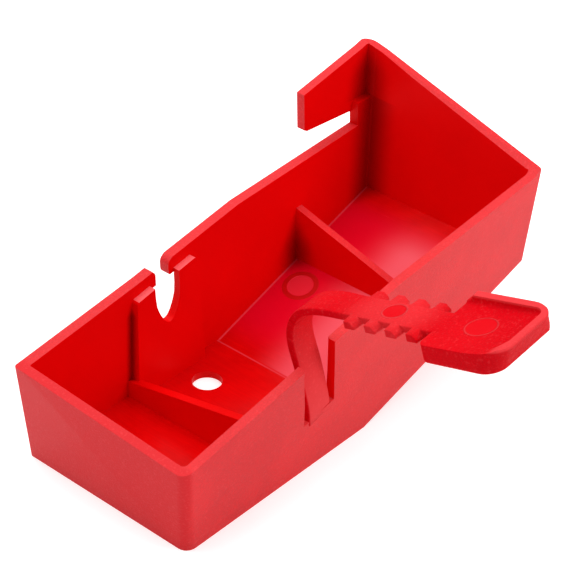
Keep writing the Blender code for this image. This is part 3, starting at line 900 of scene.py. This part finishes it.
class Graph:
    """The nodes of one material, or of the world."""

    def __init__(self, name):
        self.material = bpy.data.materials.new(name)
        self.material.use_nodes = True
        self.tree = self.material.node_tree
        self.tree.nodes.clear()
        self.shader = self.add("ShaderNodeBsdfPrincipled")
        self.out = self.add("ShaderNodeOutputMaterial")
        self.tree.links.new(self.shader.outputs[0], self.out.inputs[0])
        self.place = Sum(self, self.add("ShaderNodeTexCoord").outputs["Object"])

    @classmethod
    def of_world(cls, world):
        graph = cls.__new__(cls)
        graph.tree = world.node_tree
        graph.tree.nodes.clear()
        return graph

    def add(self, kind, settings=None, values=None):
        node = self.tree.nodes.new(kind)
        for key, value in (settings or {}).items():
            setattr(node, key, value)
        for key, value in (values or {}).items():
            self.put(node.inputs[key], value)
        return node

    def put(self, socket, value):
        if isinstance(value, Sum):
            self.tree.links.new(value.socket, socket)
        else:
            socket.default_value = value

    def noise(self, size_mm, detail=2.0, rough=0.5, stretch=(1, 1, 1)):
        """Noise with grains about size_mm across, longer along an axis where stretch is more than 1."""
        scale = [1 / (size_mm * MM * k) for k in stretch]
        spread = self.add("ShaderNodeVectorMath", {"operation": "MULTIPLY"}, {0: self.place, 1: scale})
        node = self.add("ShaderNodeTexNoise", None, {"Vector": Sum(self, spread.outputs[0]), "Scale": 1.0,
                                                     "Detail": detail, "Roughness": rough})
        return Sum(self, node.outputs["Fac"])

    def from_point(self, point):
        """Distance in millimetres from a point given from the tray's corner."""
        ends = {0: self.place, 1: in_frame(point)}
        node = self.add("ShaderNodeVectorMath", {"operation": "DISTANCE"}, ends)
        return Sum(self, node.outputs["Value"]) / MM

    def axes(self):
        """x, y and z in millimetres from the tray's corner."""
        parts = self.add("ShaderNodeSeparateXYZ", None, {0: self.place})
        return [Sum(self, socket) / MM - at for socket, at in zip(parts.outputs, CORNER_IN_FRAME)]

    def above_bar(self):
        """Height over the toothed bar's top, in millimetres."""
        foot = bar_point(0, 0, 0)
        up = bar_point(0, 0, 1) - foot
        x, y, z = self.axes()
        return x * up.x + y * up.y + z * up.z - up.dot(foot)

    def mix(self, factor, a, b):
        node = self.add("ShaderNodeMix", {"data_type": "RGBA"}, {0: factor, 6: a, 7: b})
        return Sum(self, node.outputs[2])

    def bump(self, height, depth_mm):
        values = {"Height": height, "Distance": depth_mm * MM, "Strength": 1.0}
        return Sum(self, self.add("ShaderNodeBump", None, values).outputs[0])

    def finish(self, colour, rough, **others):
        """Base Color and Roughness, and the shader's other sockets by their names with _ for spaces."""
        self.put(self.shader.inputs["Base Color"], colour)
        self.put(self.shader.inputs["Roughness"], rough)
        for name, value in others.items():
            self.put(self.shader.inputs[name.replace("_", " ")], value)
        return self.material


def rgba(colour, k=1.0):
    return (*[min(1.0, c * k) for c in colour], 1.0)


def round_mark(far, wide):
    """Ejector's mark, from the distance to its centre: masks of its disc and of its raised edge."""
    inside = 1.0 - far.ramp(wide / 2 - 0.12, wide / 2 + 0.02)
    edge = far.ramp(wide / 2 - 0.32, wide / 2 - 0.06) * (1.0 - far.ramp(wide / 2 - 0.02, wide / 2 + 0.22))
    return inside, edge


def disc_mark(graph, marks):
    """Ejector's marks on the strap, each given by its place along and across the bar and its width."""
    masks = [round_mark(graph.from_point(bar_point(a, b, 0.0)), wide) for a, b, wide in marks]
    return sum(inside for inside, _ in masks), sum(edge for _, edge in masks)


def pale_root_and_painted_highlights(g, colour, settings):
    """Pales the strap's foot to the wall's red, and paints a highlight on the pad's lip and a sheen on the
    middle of the bar.
    """
    x, _, z = g.axes()
    from_side = x - (ROOT.x - HALF_LEFT) + (z - ROOT.z) * sin(LEAN)
    root = (1.0 - z.ramp(*ROOT_PALE)) * from_side.ramp(0.05, 0.4)
    colour = g.mix(root, colour, rgba(settings.root))
    # Painted highlight on the pad's lip, where it stands over the bar.
    colour = g.mix(g.above_bar().ramp(0.9, 1.5) * 0.4, colour, rgba(settings.speck))
    # Painted sheen on the middle of the bar.
    middle = 1.0 - g.from_point(bar_point(9.0, BAR_SIDE, 0.0)).ramp(4.0, 12.0)
    return g.mix(middle * 0.2, colour, rgba(settings.speck))


def sparked_red(name, settings, base, gloss, marks=()):
    """Spark-eroded finish; gloss is how much of the room it mirrors, and only the strap is marked."""
    g = Graph(name)
    grain = g.noise(settings.grain, 3.0, 0.65)
    speck = g.noise(settings.grain * 1.7).ramp(0.56, 0.68)
    cloud = g.noise(9.0)
    tone = (cloud.ramp(0.35, 0.7) * 0.35 + grain.ramp(0.3, 0.7) * 0.65).clamp()
    colour = g.mix(tone, rgba(base, 0.86), rgba(base, 1.08))
    if marks:
        colour = pale_root_and_painted_highlights(g, colour, settings)
    # Painted shade: the left end's outer face takes the strap's deeper red.
    left_end_shade = 1.0 - g.axes()[0].ramp(-0.2, 1.2)
    colour = g.mix(left_end_shade * 0.85, colour, rgba(settings.strap))
    colour = g.mix(speck * 0.12, colour, rgba(settings.speck))
    rough = 0.42 + grain * 0.2
    height = grain
    if marks:
        inside, edge = disc_mark(g, marks)
        inside = inside.clamp()
        rough = rough - inside * 0.14
        height = height * (1.0 - inside * 0.85) - inside * 0.8 + edge * 1.6
        colour = g.mix(inside, colour, rgba(base, 1.03))
        # Painted highlight on each mark's raised edge, which is bumped as well.
        colour = g.mix(edge.clamp() * 0.3, colour, rgba(settings.speck))
    return g.finish(colour, rough, Normal=g.bump(height, 0.09), Specular_IOR_Level=gloss)


def polished_red(name, settings):
    """Smooth finish of the inner walls, drawn into faint streaks where the mould slid off."""
    g = Graph(name)
    streaks = g.noise(0.5, 4.0, 0.6, (1, 1, 12))
    cloud = g.noise(14.0)
    fine = g.noise(0.35)
    colour = g.mix(cloud.ramp(0.3, 0.75), rgba(settings.polished, 0.97), rgba(settings.polished, 1.02))
    # Painted shade round the upright inner corners.
    colour = g.mix(painted_corner_shade(g), colour, rgba(settings.polished, 0.32))
    rough = 0.36 + streaks * 0.14
    height = streaks * 0.6 + fine * 0.5
    return g.finish(colour, rough, Normal=g.bump(height, 0.015), Specular_IOR_Level=0.06)


def painted_corner_shade(g):
    """Painted shade: deepens the red round the upright inner corners.

    Each corner has its place, how far the dark reaches, how deep it is, and the heights where it fades.
    """
    x, y, z = g.axes()
    behind_hook = z.ramp(LEDGE - 0.3, LEDGE + 0.3) * HOOK_OUT
    from_far = abs(y - behind_hook - far_in(z))
    corners = ((right_in(z), 7.5, 0.85, 43.0, 52.0), (TALL_RIB[0], 6.5, 0.85, 12.0, 21.0),
               (plate_left(z), 1.8, 0.8, 19.0, 21.5), (left_in(z), 4.0, 0.5, 12.0, 21.0))
    shade = 0.0
    for at, reach, depth, full, none in corners:
        low = 1.0 - z.ramp(full, none)
        away = (abs(x - at) + from_far) / (low * 0.7 + 0.3)
        shade = shade + (1.0 - away.ramp(0.0, reach)) * low * depth
    return shade.clamp()


def floor_red(name, settings):
    """Half-polished floor with scuffs and a round mark, with painted sheen on its climb, painted highlight
    lines and painted shade in its corners.
    """
    g = Graph(name)
    brushed = g.noise(0.45, 5.0, 0.65, (1, 14, 1))
    cloud = g.noise(7.0, 3.0, 0.55)
    fine = g.noise(0.3)
    tone = (cloud.ramp(0.3, 0.7) * 0.6 + brushed.ramp(0.35, 0.7) * 0.4).clamp()
    colour = g.mix(tone, rgba(settings.floor, 0.86), rgba(settings.floor, 1.08))
    x, y, z = g.axes()
    # Painted reflection: the climb takes a cooler red where it mirrors the room.
    climb_sheen_mask = x.ramp(KINK_X, KINK_X + 10.0) * (1.0 - x.ramp(90.0, 97.0))
    colour = g.mix(climb_sheen_mask, colour, rgba(settings.climb))
    climbs = x.ramp(KINK_X, KINK_X + 0.6)
    # Painted reflection: pink on the climb towards the near wall.
    near_wall_sheen = climbs * (1.0 - y.ramp(19.0, 33.0)) * (1.0 - x.ramp(86.0, 97.0))
    colour = g.mix(near_wall_sheen * near_wall_sheen, colour, rgba(settings.painted_sheen))
    mark_x, mark_y, wide = FLOOR_MARK
    far = g.from_point((mark_x, mark_y, floor_z(mark_x)))
    inside, _ = round_mark(far, wide)
    edge = wide / 2
    ring = far.ramp(edge - 0.1, edge + 0.1) * (1.0 - far.ramp(edge + 0.95, edge + 1.2))
    # Painted sheen on the mark's disc.
    colour = g.mix(inside.clamp() * 0.22, colour, rgba(settings.painted_sheen))
    colour = g.mix(ring * 0.95, colour, rgba(settings.polished, 0.66))
    # Painted highlights along the climb's foot at the far wall and along the kink.
    wall_line = 1.0 - abs(y - far_in(z) + 0.25).ramp(0.1, 0.35)
    kink_line = 1.0 - abs(x - KINK_X).ramp(0.08, 0.3)
    painted_highlight_line = (wall_line * climbs + kink_line * 0.7).clamp()
    colour = g.mix(painted_highlight_line * 0.6, colour, rgba(settings.painted_sheen))
    # Painted shade on the floor round the upright inner corners.
    colour = g.mix(painted_corner_shade(g) * 0.9, colour, rgba(settings.floor, 0.35))
    rough = 0.16 + brushed * 0.16 + ring * 0.25
    height = brushed * 0.5 + fine * 0.35 - inside * 3.0
    return g.finish(colour, rough, Normal=g.bump(height, 0.012), Specular_IOR_Level=0.09)


# ------------------------------------------------------------------ operators
def strap_red():
    """The strap's finish, made once for its four pieces."""
    name, settings = "sparked_strap", bpy.context.scene.finish_settings
    made = bpy.data.materials.get(name)
    return made or sparked_red(name, settings, settings.strap, 0.02, STRAP_MARKS)


def store(ob, *materials):
    """Gives the object these materials, slot by slot."""
    ob.data.materials.clear()
    for material in materials:
        ob.data.materials.append(material)


class TRAY_OT_body(bpy.types.Operator):
    """Tray with its hook, keyhole plate and ribs, as one moulding"""
    bl_idname = "object.strap_tray_body"
    bl_label = "Tray"

    def execute(self, context):
        settings = context.scene.finish_settings
        body = make_tray_body()
        store(body, sparked_red("sparked_tray", settings, settings.sparked, 0.25),
              polished_red("polished_tray", settings), floor_red("polished_floor", settings),
              # The fourth finish paints a highlight on the plate's top.
              sparked_red("painted_highlight_top", settings, settings.speck, 0.5))
        sort_faces(body)
        round_edges(body, context.scene.tray_sizes.rounding)
        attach(body, "tray")
        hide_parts("tray_shell", "hook_arm", "low_divider", "tall_divider", "slot_plate")
        return {"FINISHED"}


class TRAY_OT_strap(bpy.types.Operator):
    """Neck of the strap, in two lengths"""
    bl_idname = "object.strap_tray_neck"
    bl_label = "Strap neck"

    def execute(self, context):
        red = strap_red()
        lower = ("neck_lower", 0.0, MIDWAY, "tray", "strap_link", LOWER_BEND, ("strap_root", "neck_link_1"))
        upper = ("neck_upper", MIDWAY, NECK_L, "strap_link", "strap_end", UPPER_BEND, ("neck_link_2",))
        for name, s0, s1, below_it, above_it, bend, nodes in (lower, upper):
            band = make_band(name, s0, s1)
            store(band, red)
            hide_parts(*nodes)
            on_path(bend[0])
            on_path(bend[1])
            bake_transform(band)
        return {"FINISHED"}


class TRAY_OT_bar(bpy.types.Operator):
    """Flat bar with a row of teeth on each side"""
    bl_idname = "object.strap_tray_bar"
    bl_label = "Toothed bar"

    def execute(self, context):
        red = strap_red()
        bar = make_bar(red)
        store(bar, red)
        for poly in bar.data.polygons:
            poly.use_smooth = True
        bar.data.set_sharp_from_angle(angle=radians(35))
        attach(bar, "strap_end")
        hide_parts("tooth_bar")
        return {"FINISHED"}


class TRAY_OT_pad(bpy.types.Operator):
    """Finger pad with its raised lip"""
    bl_idname = "object.strap_tray_pad"
    bl_label = "Finger pad"

    def execute(self, context):
        pad = make_pad()
        store(pad, strap_red())
        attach(pad, "strap_end")
        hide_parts("finger_pad")
        return {"FINISHED"}


def seen_directly(graph):
    """1 for what the camera sees straight, mirrored or through glass; 0 for what only lights."""
    path = graph.add("ShaderNodeLightPath")
    camera, mirrored, through = (Sum(graph, path.outputs[f"Is {kind} Ray"])
                                 for kind in ("Camera", "Glossy", "Transmission"))
    return (camera + mirrored + through).clamp()


def pale_floor():
    """Floor that comes out white where nothing shades it, and keeps a faint shadow."""
    g = Graph("pale_floor")
    g.finish((0.86, 0.86, 0.86, 1.0), 0.7)
    glow = g.add("ShaderNodeEmission", None, {"Color": (1, 1, 1, 1), "Strength": seen_directly(g) * 0.45})
    both = g.add("ShaderNodeAddShader")
    g.tree.links.new(g.shader.outputs[0], both.inputs[0])
    g.tree.links.new(glow.outputs[0], both.inputs[1])
    g.tree.links.new(both.outputs[0], g.out.inputs[0])
    return g.material


def pale_world(strength):
    world = bpy.data.worlds.new("pale_room")
    bpy.context.scene.world = world
    world.use_nodes = True
    g = Graph.of_world(world)
    white = (1, 1, 1, 1)
    room = g.add("ShaderNodeBackground", None, {"Color": white, "Strength": strength})
    seen = g.add("ShaderNodeBackground", None, {"Color": white, "Strength": 1.0})
    either = g.add("ShaderNodeMixShader", None, {0: seen_directly(g)})
    out = g.add("ShaderNodeOutputWorld")
    g.tree.links.new(room.outputs[0], either.inputs[1])
    g.tree.links.new(seen.outputs[0], either.inputs[2])
    g.tree.links.new(either.outputs[0], out.inputs[0])


def soft_lamp(name, place_at, towards, size, watts):
    data = bpy.data.lights.new(name, "AREA")
    data.shape = "DISK"
    data.size = size
    data.energy = watts
    ob = bpy.data.objects.new(name, data)
    bpy.context.scene.collection.objects.link(ob)
    ob.location = place_at
    ob.rotation_euler = (Vector(towards) - Vector(place_at)).to_track_quat("-Z", "Y").to_euler()


class TRAY_OT_studio(bpy.types.Operator):
    """Pale floor, soft light and the camera"""
    bl_idname = "object.strap_tray_studio"
    bl_label = "Studio"

    def execute(self, context):
        bm = bmesh.new()
        bmesh.ops.create_grid(bm, x_segments=8, y_segments=8, size=1.5)
        ground = new_object("ground", bm)
        store(ground, pale_floor())
        pale_world(context.scene.finish_settings.daylight)
        soft_lamp("key", (0.26, -0.38, 0.42), (0, 0, 0.02), 0.40, 1.5)
        soft_lamp("top", (-0.02, 0.24, 0.62), (0, 0, 0), 0.6, 2.8)
        self.add_camera(context.scene)
        context.scene.view_settings.view_transform = "Standard"
        return {"FINISHED"}

    def add_camera(self, scene):
        data = bpy.data.cameras.new("view")
        data.lens = VIEW_LENS
        data.sensor_width = 36.0
        data.clip_start = 0.01
        camera = bpy.data.objects.new("view", data)
        scene.collection.objects.link(camera)
        turn = Matrix((VIEW_RIGHT, VIEW_UP, VIEW_RIGHT.cross(VIEW_UP))).transposed().to_4x4()
        camera.matrix_world = Matrix.Translation(VIEW_FROM) @ turn
        scene.camera = camera


class TRAY_PT_panel(bpy.types.Panel):
    """Steps of the build, in order"""
    bl_idname = "TRAY_PT_panel"
    bl_label = "Strap tray"
    bl_space_type = "VIEW_3D"
    bl_region_type = "UI"
    bl_category = "Strap tray"

    def draw(self, context):
        for group in (context.scene.tray_sizes, context.scene.strap_sizes, context.scene.finish_settings):
            frame_ui = self.layout.box()
            for name in group.bl_rna.properties.keys():
                if name not in ("rna_type", "name"):
                    frame_ui.prop(group, name)
        for step in STEPS:
            self.layout.operator(step.bl_idname)


STEPS = (TRAY_OT_body, TRAY_OT_strap, TRAY_OT_bar, TRAY_OT_pad, TRAY_OT_studio)
CLASSES = (TraySizes, StrapSizes, FinishSettings, *STEPS, TRAY_PT_panel)
GROUPS = {"tray_sizes": TraySizes, "strap_sizes": StrapSizes, "finish_settings": FinishSettings}


def register():
    for cls in CLASSES:
        bpy.utils.register_class(cls)
    for name, group in GROUPS.items():
        setattr(bpy.types.Scene, name, bpy.props.PointerProperty(type=group))


def unregister():
    for name in GROUPS:
        delattr(bpy.types.Scene, name)
    for cls in reversed(CLASSES):
        bpy.utils.unregister_class(cls)


def main():
    register()
    for step in STEPS:
        module, name = step.bl_idname.split(".")
        getattr(getattr(bpy.ops, module), name)()


if __name__ == "__main__":
    main()
